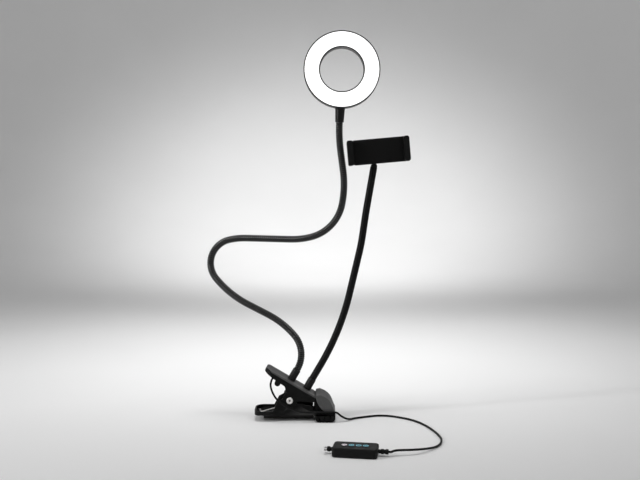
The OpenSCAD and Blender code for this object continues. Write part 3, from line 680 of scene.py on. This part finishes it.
def flat_mark(name, loops, key, material):
    """A pictogram: closed loops of (x, y) points in millimetres, drawn on a key's top."""
    bm = bmesh.new()
    at = BUTTON_FIRST + key * BUTTON_PITCH
    for loop in loops:
        rows = []
        for z in (BUTTON_TOP - 0.1, BUTTON_TOP + 0.06):
            rows.append([AT_CONTROL @ (Vector((at + x, y, z)) * MM) for x, y in loop])
        made = add_grid(bm, rows)
        bm.faces.new(made[0])
        bm.faces.new(made[-1])
    return piece_from(bm, name, material, 30)


def bar(x, y, long, thick, turn=0.0):
    """A round-ended bar about (x, y)."""
    line = []
    for side in (1, -1):
        for k in range(5):
            a = -math.pi / 2 + math.pi * k / 4
            line.append(Vector((side * (long / 2 - thick / 2 + thick / 2 * math.cos(a)), side * thick / 2 * math.sin(a))))
    spin = Matrix.Rotation(math.radians(turn), 2)
    return [tuple(spin @ p + Vector((x, y))) for p in line]


def arc_band(radius, thick, start, end, steps=20):
    """A band along a circle, from start to end in degrees."""
    angles = [math.radians(start + (end - start) * k / steps) for k in range(steps + 1)]
    out = [((radius + thick / 2) * math.cos(a), (radius + thick / 2) * math.sin(a)) for a in angles]
    back = [((radius - thick / 2) * math.cos(a), (radius - thick / 2) * math.sin(a)) for a in reversed(angles)]
    return out + back


KEY_RING = arc_band(2.45, 0.62, 0, 358, 28)
KEY_MARKS = {
    "power": [arc_band(1.15, 0.5, 125, 415), bar(0, 0.8, 1.3, 0.5, 90)],
    "mode": [arc_band(0.7, 0.6, 0, 355)],
    "minus": [bar(0, 0, 2.3, 0.6)],
    "plus": [bar(0, 0, 2.3, 0.6), bar(0, 0.72, 0.84, 0.6, 90), bar(0, -0.72, 0.84, 0.6, 90)],
}


def make_controller():
    """The case, its keys, both necks and the plug. Returns every piece that is on the cord."""
    base = softened(
        "case_base", "controller_base", "lower_jaw", 0.15, BLACK_PLASTIC, case_edges(0), 1.4, slot="black_plastic"
    )
    lid = softened(
        "case_lid", "controller_lid", "lower_jaw", 0.15, BLACK_PLASTIC, case_edges(CONTROL_HEIGHT), 1.4,
        slot="black_plastic",
    )
    relief_piece = ribbed_neck("cord_boot", RELIEF_LENGTH, 2, 0, "cord_relief")
    neck = ribbed_neck("plug_boot", NECK_LENGTH, 1, 180, "plug_relief")
    shell = softened("plug_sleeve", "plug_shell", "lower_jaw", 0.12, PLUG_METAL, slot="plug_metal")
    pieces = [base, lid, relief_piece, neck, shell]
    for index, (mark, loops) in enumerate(KEY_MARKS.items()):
        node = f"button_{mark}"
        cap = softened(f"keycap_{mark}", node, f"key_{mark}", 0.35, KEY_PLASTIC, slot="key_plastic")
        glow = MARK_WHITE if mark == "power" else MARK_BLUE
        sign = flat_mark(f"mark_{mark}", loops + [KEY_RING], index, glow)
        settle(sign, f"key_{mark}")
        pieces += [cap, sign]
    for node, material, slot in (
        ("controller_board", GREEN_BOARD, "green_board"),
        ("controller_switches", SWITCH_METAL, "switch_metal"),
        ("plug_tongue", CONTACT_METAL, "plug_plastic"),
    ):
        keep(node, material)
        pieces.append(NODES[node])
    return pieces


CORD_PIECES = make_controller()

# ---- goosenecks ----

PITCH = 2.4
PITCH_STEPS = 6
HOSE_SIDES = 24


def hose(name, arm, first, last, groove, material):
    """A hollow hose over stretches first to last of an arm, with a helical groove of that depth round it."""
    bm = bmesh.new()
    start, end = arm.starts[first], arm.starts[last + 1]
    step = PITCH / PITCH_STEPS
    outer = []
    for j in range(math.floor((start - PITCH) / step), math.ceil(end / step) + 1):
        ring = []
        for k in range(HOSE_SIDES):
            lead = PITCH * k / HOSE_SIDES
            distance = min(max(j * step + lead, start), end)
            phase = ((distance - lead) / PITCH) % 1
            radius = HOSE_R - groove * (1 - math.sin(math.pi * phase))
            ring.append(ring_point(arm.pose_at(distance), radius, 2 * math.pi * k / HOSE_SIDES))
        outer.append(ring)
    verts = [[bm.verts.new(point) for point in ring] for ring in outer]
    for j in range(len(verts) - 1):
        for k in range(HOSE_SIDES):
            n = (k + 1) % HOSE_SIDES
            shift = 0 if n else PITCH_STEPS
            if j + 1 + shift < len(verts):
                bm.faces.new((verts[j][k], verts[j + 1][k], verts[j + 1 + shift][n], verts[j + shift][n]))
    for j in range(PITCH_STEPS):
        a, b = verts[j][0], verts[j + 1][0]
        c = verts[0][HOSE_SIDES - 1]
        if (a.co - b.co).length > 1e-7:
            bm.faces.new((a, b, c))
    bore = []
    count = max(2, math.ceil((end - start) / PITCH))
    for j in range(count + 1):
        pose = arm.pose_at(start + (end - start) * j / count)
        bore.append([ring_point(pose, HOSE_BORE, 2 * math.pi * k / HOSE_SIDES) for k in range(HOSE_SIDES)])
    inner = add_grid(bm, bore)
    for rim, hole in ((verts[0], inner[0]), (verts[-1], inner[-1])):
        for k in range(HOSE_SIDES):
            n = (k + 1) % HOSE_SIDES
            bm.faces.new((rim[k], rim[n], hole[n], hole[k]))
    return piece_from(bm, name, material, 50)


def lead(name, arm, first, last, before=None):
    """A round lead through stretches first to last of an arm."""
    start, end = arm.starts[first], arm.starts[last + 1]
    count = math.ceil((end - start) / 3)
    line = [] if before is None else [before]
    for j in range(count + 1):
        x, z, _ = arm.pose_at(start + (end - start) * j / count)
        line.append(Vector((x, 0, z)))
    return tube(name, line, LEAD_R, LEAD_SHEATH, 12, (0, 1, 0))


def make_arm(arm, label, groove, material, stretches):
    """Hoses ride on their body; bends are left in place, on no body."""
    for name, first, last, bodies in stretches:
        piece = hose(f"{label}_arm_{name}", arm, first, last, groove, material)
        if len(bodies) == 1:
            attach(piece, bodies[0])
        else:
            arm.point(first)
            arm.point(last + 1)
            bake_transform(piece)
        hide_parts(f"{label}_{name}")


make_arm(
    LIGHT_ARM, "light", 0.55, LIGHT_HOSE,
    [
        ("bend_1", 0, 0, ("upper_jaw", "light_low")),
        ("hose_1", 1, 5, ("light_low",)),
        ("bend_2", 6, 6, ("light_low", "light_middle")),
        ("hose_2", 7, 11, ("light_middle",)),
        ("bend_3", 12, 12, ("light_middle", "light_upper")),
        ("hose_3", 13, 15, ("light_upper",)),
        ("bend_4", 16, 16, ("light_upper", "light_tip")),
        ("hose_4", 17, 17, ("light_tip",)),
    ],
)
make_arm(
    PHONE_ARM, "phone", 0.16, PHONE_HOSE,
    [
        ("bend_1", 0, 1, ("upper_jaw", "phone_low")),
        ("hose_1", 2, 3, ("phone_low",)),
        ("bend_2", 4, 4, ("phone_low", "phone_upper")),
        ("hose_2", 5, 7, ("phone_upper",)),
    ],
)


def make_leads():
    """The lead inside the lamp's arm, in four lengths left in place, on no body."""
    runs = [
        (0, 5, 0, "upper_jaw", "light_low"),
        (6, 11, 6, "light_low", "light_middle"),
        (12, 15, 12, "light_middle", "light_upper"),
        (16, 17, 16, "light_upper", "light_tip"),
    ]
    for index, (first, last, bend, low, high) in enumerate(runs, 1):
        before = clamp_point(LIGHT_FOOT_AT, PLATE_UNDER - 5) if first == 0 else None
        piece = lead(f"lamp_lead_{index}", LIGHT_ARM, first, last, before)
        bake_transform(piece)
        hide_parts(f"light_lead_{index}")


make_leads()


def make_foot(name, node, at):
    """A turned sleeve with a groove under its rim, and the threaded stud below the plate."""
    profile = [(LEAD_HOLE_R, FOOT_LENGTH), (LEAD_HOLE_R, -PLATE_WALL - 5)]
    thread, depth = 0.8, 0.25
    level = -PLATE_WALL - 5
    profile.append((STUD_R - 0.5, level))
    while level < -PLATE_WALL - thread:
        profile += [(STUD_R - depth, level + 0.1), (STUD_R, level + thread / 2), (STUD_R - depth, level + thread - 0.1)]
        level += thread
    profile += [(STUD_R, -PLATE_WALL), (STUD_R, 0), (FOOT_R - 0.4, 0), (FOOT_R, 0.4)]
    rim = FOOT_LENGTH - 1.6
    profile += [(FOOT_R, rim - 0.5), (FOOT_R - 0.25, rim - 0.35), (FOOT_R - 0.25, rim - 0.1), (FOOT_R, rim)]
    profile += [(FOOT_R, FOOT_LENGTH - 0.35), (FOOT_R - 0.12, FOOT_LENGTH - 0.1), (FOOT_R - 0.35, FOOT_LENGTH)]
    piece = lathe(name, profile, AT_CLAMP @ moved(at, 0, PLATE_TOP), SLEEVE_METAL, 64, 30)
    settle(piece, "upper_jaw", node, slot="sleeve_metal")


make_foot("lamp_sleeve", "light_foot", LIGHT_FOOT_AT)
make_foot("phone_sleeve", "phone_foot", PHONE_FOOT_AT)
keep("light_ferrule", SLEEVE_METAL)

# ---- lamp ring ----


def make_ring():
    profile = rounded([
        (RING_R, RING_HALF, 0.45), (RING_R, 2.3), (RING_R - 0.35, 2.1), (RING_R - 0.35, 1.8), (RING_R, 1.6),
        (RING_R, -RING_HALF, BACK_ROUND), (HOLE_R, -RING_HALF, BACK_ROUND),
        (HOLE_R, RING_HALF, 0.45), (HOLE_R + RIM, RING_HALF, 0.3),
        (HOLE_R + RIM, BACK_WALL - RING_HALF), (RING_R - RIM, BACK_WALL - RING_HALF), (RING_R - RIM, RING_HALF, 0.3),
    ], 7)
    housing = lathe("lamp_housing", profile, AT_RING, RING_PLASTIC, 192, 30)
    settle(housing, "ring_head", "ring_housing", slot="ring_plastic")

    inner, outer = HOLE_R + RIM + 0.05, RING_R - RIM - 0.05
    profile = [(outer, RING_HALF - 2.2), (inner, RING_HALF - 2.2)]
    crown = 14
    for k in range(crown + 1):
        share = k / crown
        rise = math.sin(math.pi * share) ** 0.5
        profile.append((inner + (outer - inner) * share, RING_HALF - 0.75 + 0.7 * rise))
    diffuser = lathe("lamp_diffuser", profile, AT_RING, DIFFUSER, 192, 60)
    settle(diffuser, "ring_head", "ring_diffuser", slot="diffuser_plastic")

    top = STEM_LENGTH + 0.6
    profile = rounded([
        (STEM_R, STEM_GAP, 0.35), (STEM_R + 0.05, 2.2), (STEM_R - 0.12, 2.35), (STEM_R - 0.12, 2.6), (STEM_R + 0.09, 2.75),
        (STEM_TOP_R, STEM_LENGTH - 1.5, 3), (STEM_TOP_R + 0.7, top), (TENON_R, top), (TENON_R, STEM_LENGTH + 5, 0.4),
        (LEAD_HOLE_R, STEM_LENGTH + 5), (LEAD_HOLE_R, FERRULE_LENGTH + 1), (FERRULE_BORE, FERRULE_LENGTH + 1),
        (FERRULE_BORE, STEM_GAP),
    ])
    stem = lathe("lamp_stem", profile, AT_LIGHT_END, SLEEVE_METAL, 72, 30)
    settle(stem, "ring_head", "ring_stem", slot="black_plastic")
    keep("ring_stem_nut", ZINC_STEEL)
    keep("led_board", BOARD_WHITE)
    keep("leds", LED_RESIN)
    keep("board_screws", ZINC_STEEL)


make_ring()

# ---- phone holder ----


def make_holder():
    softened("holder_shell", "holder_body", "holder", 0.5, HOLDER_PLASTIC, slot="black_plastic")
    softened("holder_back", "holder_cover", "holder", 0.4, HOLDER_PLASTIC, slot="black_plastic")
    softened("holder_grip", "holder_pad", "holder", 0.3, HOLDER_RUBBER, slot="holder_rubber")
    softened("holder_collar", "holder_ball_nut", "holder", 0.5, HOLDER_PLASTIC, slot="black_plastic")
    softened("sliding_jaw", "holder_slide", "holder_jaw", 0.5, HOLDER_PLASTIC, slot="black_plastic")
    softened("sliding_grip", "holder_slide_pad", "holder_jaw", 0.2, HOLDER_RUBBER, slot="holder_rubber")
    keep("holder_ball_stud", SLEEVE_METAL)
    keep("holder_ball_pads", NYLON)
    keep("holder_screws", ZINC_STEEL)


make_holder()


def make_draw_springs():
    """Two draw springs between the sliding jaw's rail and the body's right-hand wall, drawn at one length and left in
    place; they do not stretch as the jaw opens.
    """
    rail_end, spring_length, middle_y = 2.4, 23.2, -12.4
    turns, per_turn = 10, 16
    bm_line = []
    for z in (-5, 5):
        line = []
        for k in range(turns * per_turn + 1):
            a = 2 * math.pi * k / per_turn
            x = rail_end + spring_length * k / turns / per_turn
            local = HOLDER_MID + Vector((x, middle_y + 1.2 * math.cos(a), z + 1.2 * math.sin(a)))
            line.append((AT_HOLDER @ (local * MM)) / MM)
        bm_line.append(line)
    for index, line in enumerate(bm_line, 1):
        spring = tube(f"draw_spring_{index}", line, 0.25, BRIGHT_STEEL, 8, (1, 0.2, 0.1))
        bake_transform(spring)
    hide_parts("holder_springs")


make_draw_springs()

# ---- clamp ----


def make_levers():
    handle = softened("upper_handle", "upper_lever", "upper_jaw", 0.5, CLAMP_STEEL, slot="clamp_paint")
    # The faces that point up take the lighter copy: painted light on the handle's top.
    handle.data.materials.append(CLAMP_LIT_TOP)
    up = (AT_CLAMP.to_3x3() @ Vector((0, 0, 1))).normalized()
    for face in handle.data.polygons:
        if face.normal.dot(up) > 0.5:
            face.material_index = 1
    softened("lower_handle", "lower_lever", "lower_jaw", 0.45, CLAMP_STEEL, slot="clamp_steel")
    softened("lead_clip", "cord_clip", "upper_jaw", 0.5, BLACK_PLASTIC, slot="black_plastic")
    softened("stud_nuts", "arm_nuts", "upper_jaw", 0.3, ZINC_STEEL, slot="bright_steel")
    softened("stud_washers", "arm_washers", "upper_jaw", 0.12, BRIGHT_STEEL, slot="bright_steel")


def make_hood():
    line = rounded([
        (-11.4, 29.6, 0.5), (-11, 31.4, 0.9), (-6.3, 32.3, 1.6), (-0.6, 29.8, 3), (3.4, 26.9, 3), (6.4, 23.6, 3),
        (8.3, 19.5, 3), (10, 15, 3), (11.8, BOOT_TOP, 0.6), (1, BOOT_TOP, 0.5), (-1, 12.2, 1), (-4.4, 14.9, 2),
        (-7.4, 18.7, 3), (-9.8, 23.6, 3),
    ], 4)
    hood = soft_prism("nose_hood", line, -HOOD_WIDTH / 2, HOOD_WIDTH / 2, 1.6, Matrix.Identity(4), HOOD_PLASTIC, 5)
    settle(hood, "upper_jaw", "upper_hood", slot="hood_plastic")


def make_pad():
    """The upper rubber pad, with ribs down its open side."""
    corners = [(9.2, BOOT_TOP, 0.6), (6.4, 18, 1), (0, 24, 1), (-13.4, 28.6, 0.8)]
    ribs = 5
    for k in range(ribs):
        top = 27 - (27 - BOOT_TOP - 0.6) * k / ribs
        pitch = (27 - BOOT_TOP - 0.6) / ribs
        corners += [(-13.4, top, 0.4), (-13.4, top - pitch * 0.55, 0.4), (-12.6, top - pitch * 0.65), (-12.6, top - pitch * 0.9)]
    corners.append((-13.4, BOOT_TOP, 0.6))
    half = PAD_WIDTH / 2
    pad = soft_prism("nose_pad", rounded(corners, 3), -half, half, 0.8, Matrix.Identity(4), GRIP_RUBBER, 3)
    settle(pad, "upper_jaw", "upper_pad", slot="grip_rubber")


def make_boot():
    """The lower rubber boot, with shallow grooves under it and along its sides."""
    corners = [(BOOT_HALF, BOOT_TOP, 0.8), (BOOT_HALF, 0, BOOT_ROUND)]
    for k in range(3):
        x = 4.2 - 4.2 * k
        corners += [(x + 0.6, 0, 0.2), (x + 0.45, 0.5), (x - 0.45, 0.5), (x - 0.6, 0, 0.2)]
    corners += [(-BOOT_HALF, 0, BOOT_ROUND), (-BOOT_HALF, BOOT_TOP, 0.8)]
    for k in range(5):
        x = -8.4 + 4.2 * k
        corners += [(x - 0.6, BOOT_TOP, 0.2), (x - 0.45, BOOT_TOP - 0.5), (x + 0.45, BOOT_TOP - 0.5), (x + 0.6, BOOT_TOP, 0.2)]
    half = BOOT_WIDTH / 2
    boot = soft_prism("jaw_boot", rounded(corners, 6), -half, half, 2.2, Matrix.Identity(4), GRIP_RUBBER, 6)
    settle(boot, "lower_jaw", "lower_boot", slot="grip_rubber")


def make_rivet():
    """The hollow pivot rivet, with its two rolled heads."""
    outer = PIVOT_HALF + RIVET_HEAD
    corners = []
    for side in (1, -1):
        levels = [
            (PIVOT_R, side * PIVOT_HALF), (RIVET_HEAD_R, side * PIVOT_HALF, 0.3), (RIVET_HEAD_R - 0.35, side * outer, 0.8),
            (PIVOT_BORE + 0.5, side * outer, 0.5), (PIVOT_BORE, side * (outer - 0.8), 0.4),
        ]
        corners += levels if side > 0 else levels[::-1]
    place = Matrix.Translation(PIVOT) @ turned(90, 0, 0)
    rivet = lathe("pivot_rivet", rounded(corners), place, BRIGHT_STEEL, 64, 50)
    settle(rivet, "upper_jaw", "pivot_tube", slot="bright_steel")


def make_torsion_spring():
    """A coil about the pivot with one leg on the lower handle and one under the upper."""
    coil_r, coil_y, wire_r = 5.5, 6, 0.8
    first, last = -72, 41 + 4 * 360
    steps = 160
    pivot = PIVOT / MM
    line = bent([(-77.8, -coil_y, 12.4), (-77, -coil_y, 9.7), (-75.2, -coil_y, 9.3), (-60, -coil_y, 13.86)], 1.2)[:-1]
    for k in range(steps + 1):
        a = math.radians(first + (last - first) * k / steps)
        line.append(pivot + Vector((coil_r * math.cos(a), coil_y * (2 * k / steps - 1), coil_r * math.sin(a))))
    line.append(clamp_point(-33, PLATE_UNDER - 0.9, coil_y))
    spring = tube("clamp_spring", line, wire_r, BRIGHT_STEEL, 14)
    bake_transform(spring)
    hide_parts("torsion_spring")


make_levers()
make_hood()
make_pad()
make_boot()
make_rivet()
make_torsion_spring()

# ---- floor and light ----


def make_floor():
    """A round studio floor that curves up into a wall all round, so that no edge shows from any side."""
    flat, curve, wall, segments = 1.7, 1.3, 3.2, 96
    radii = [(0.0, 0.0), (0.4, 0.0), (1.0, 0.0), (flat, 0.0)]
    for k in range(1, 13):
        a = math.pi / 2 * k / 12
        radii.append((flat + curve * math.sin(a), curve * (1 - math.cos(a))))
    radii.append((flat + curve, wall))
    bm = bmesh.new()
    rows = []
    for r, z in radii:
        angles = [2 * math.pi * k / segments for k in range(segments)]
        rows.append([Vector((r * math.cos(a), r * math.sin(a), z)) for a in angles])
    add_grid(bm, rows)
    floor = piece_from(bm, "studio_sweep", FLOOR, 60)
    floor.data.flip_normals()


def add_light(name, at, aim, size, power):
    data = bpy.data.lights.new(name, "AREA")
    data.shape = "RECTANGLE"
    data.size, data.size_y = size
    data.energy = power
    light = bpy.data.objects.new(name, data)
    light.location = at
    light.rotation_euler = (Vector(aim) - Vector(at)).to_track_quat("-Z", "Y").to_euler()
    light.visible_camera = False
    bpy.context.collection.objects.link(light)


def add_spot(name, at, aim, power, cone):
    """A wide soft pool of light."""
    data = bpy.data.lights.new(name, "SPOT")
    data.energy = power
    data.spot_size = math.radians(cone)
    data.spot_blend = 1
    data.shadow_soft_size = 0.35
    light = bpy.data.objects.new(name, data)
    light.location = at
    light.rotation_euler = (Vector(aim) - Vector(at)).to_track_quat("-Z", "Y").to_euler()
    bpy.context.collection.objects.link(light)


def make_light():
    world = bpy.data.worlds.new("studio")
    world.use_nodes = True
    world.node_tree.nodes["Background"].inputs["Color"].default_value = (1, 1, 1, 1)
    world.node_tree.nodes["Background"].inputs["Strength"].default_value = 0.37
    bpy.context.scene.world = world
    middle = (0, 0, 0.2)
    add_light("key", (-1.3, -0.5, 0.8), middle, (0.12, 0.9), 10)
    add_light("fill", (1.5, -1.1, 1.2), middle, (1.0, 1.0), 4)
    add_spot("pool", (0, 0.05, 1.5), (0, 0.45, 0), 80, 54)
    add_spot("backdrop", (0, 0.6, 1.3), (0, 2.45, 0.0), 150, 66)
    bpy.context.scene.view_settings.view_transform = "Standard"


make_floor()
make_light()
